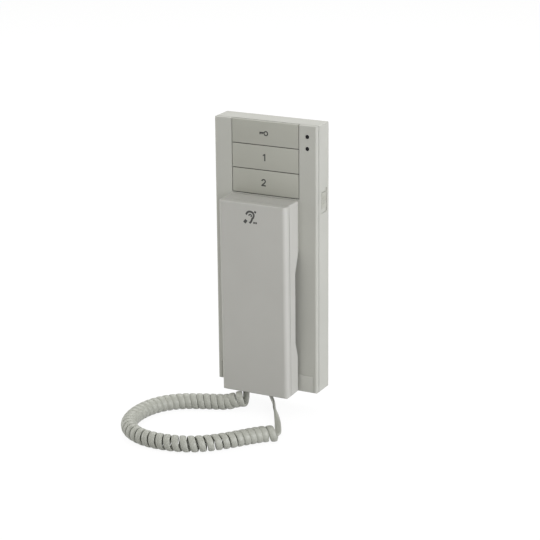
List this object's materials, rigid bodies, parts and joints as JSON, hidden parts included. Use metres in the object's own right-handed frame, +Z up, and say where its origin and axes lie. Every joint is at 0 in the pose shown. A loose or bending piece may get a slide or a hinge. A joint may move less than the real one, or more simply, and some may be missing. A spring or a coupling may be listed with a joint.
{
  "type": "wall audio station with corded handset",
  "caption": "Slim wall audio station for a door intercom: flat body with stacked call and door keys, a hanging handset, status lights, a side volume slider and a curly cord.",
  "frame": {"origin": "middle of the two wall screws, on the wall plane", "axes": "+Z up the wall, +Y into the wall, so the front faces -Y and +X is to the right as seen from the front"},
  "size_m": [0.1286, 0.1468, 0.2366],
  "materials": {
    "shell": "fine matt grey moulding",
    "key": "fine matt grey moulding",
    "cord": "soft satin grey jacket",
    "steel": "zinc plated",
    "board": "solder resist",
    "light_pipe": "smoked clear",
    "plug": "clear moulded",
    "seal": "soft foam",
    "winding": "enamelled copper wire",
    "led": "diffuse",
    "terminal": "moulded",
    "dark_plastic": "moulded"
  },
  "bodies": {
    "station": {"wall_plate": "steel", "rear_housing": "shell", "front_cover": "shell", "lower_cover": "shell", "key_frame": "dark_plastic", "main_board": "board", "door_switch": "dark_plastic", "call_switch_1": "dark_plastic", "call_switch_2": "dark_plastic", "light_pipe_upper": "light_pipe", "light_pipe_lower": "light_pipe", "status_leds": "led", "hook_switch": "dark_plastic", "ringer": "dark_plastic", "terminal_block": "terminal", "terminal_screws": "steel", "volume_switch": "dark_plastic", "base_socket": "dark_plastic", "board_screws": "steel", "cover_screws": "steel", "base_plug": "plug", "cord_lead": "cord", "curly_cord": "cord"},
    "door_key": {"door_key": "key", "door_plunger": "dark_plastic"},
    "call_key_1": {"call_key_1": "key", "call_plunger_1": "dark_plastic"},
    "call_key_2": {"call_key_2": "key", "call_plunger_2": "dark_plastic"},
    "hook_plunger": {"hook_plunger": "key"},
    "volume_slider": {"volume_slider": "key"},
    "handset": {"handset_front": "shell", "handset_rear": "shell", "ear_speaker": "dark_plastic", "ear_gasket": "seal", "hearing_coil": "winding", "mic_capsule": "steel", "mic_boot": "seal", "handset_weight": "steel", "handset_socket": "dark_plastic", "handset_plug": "plug", "handset_screws": "steel"}
  },
  "joints": [
    {"name": "door_key_press", "type": "slide", "parent": "station", "child": "door_key", "axis": [0, 1, 0], "range_m": [0, 0.0008], "stiffness_N_per_m": 600},
    {"name": "call_key_1_press", "type": "slide", "parent": "station", "child": "call_key_1", "axis": [0, 1, 0], "range_m": [0, 0.0008], "stiffness_N_per_m": 600},
    {"name": "call_key_2_press", "type": "slide", "parent": "station", "child": "call_key_2", "axis": [0, 1, 0], "range_m": [0, 0.0008], "stiffness_N_per_m": 600},
    {"name": "volume_slide", "type": "slide", "parent": "station", "child": "volume_slider", "axis": [0, 0, 1], "range_m": [-0.0025, 0.0025]},
    {"name": "handset_lift", "type": "slide", "parent": "station", "child": "handset", "axis": [0, -0.8, 0.6], "range_m": [0, 0.06], "deforming": ["curly_cord"]},
    {"name": "hook_plunger_slide", "type": "slide", "parent": "station", "child": "hook_plunger", "axis": [0, -1, 0], "range_m": [0, 0.0025]}
  ],
  "couplings": [
    {"joint": "hook_plunger_slide", "follows": "handset_lift", "ratio": 0.04166}
  ]
}
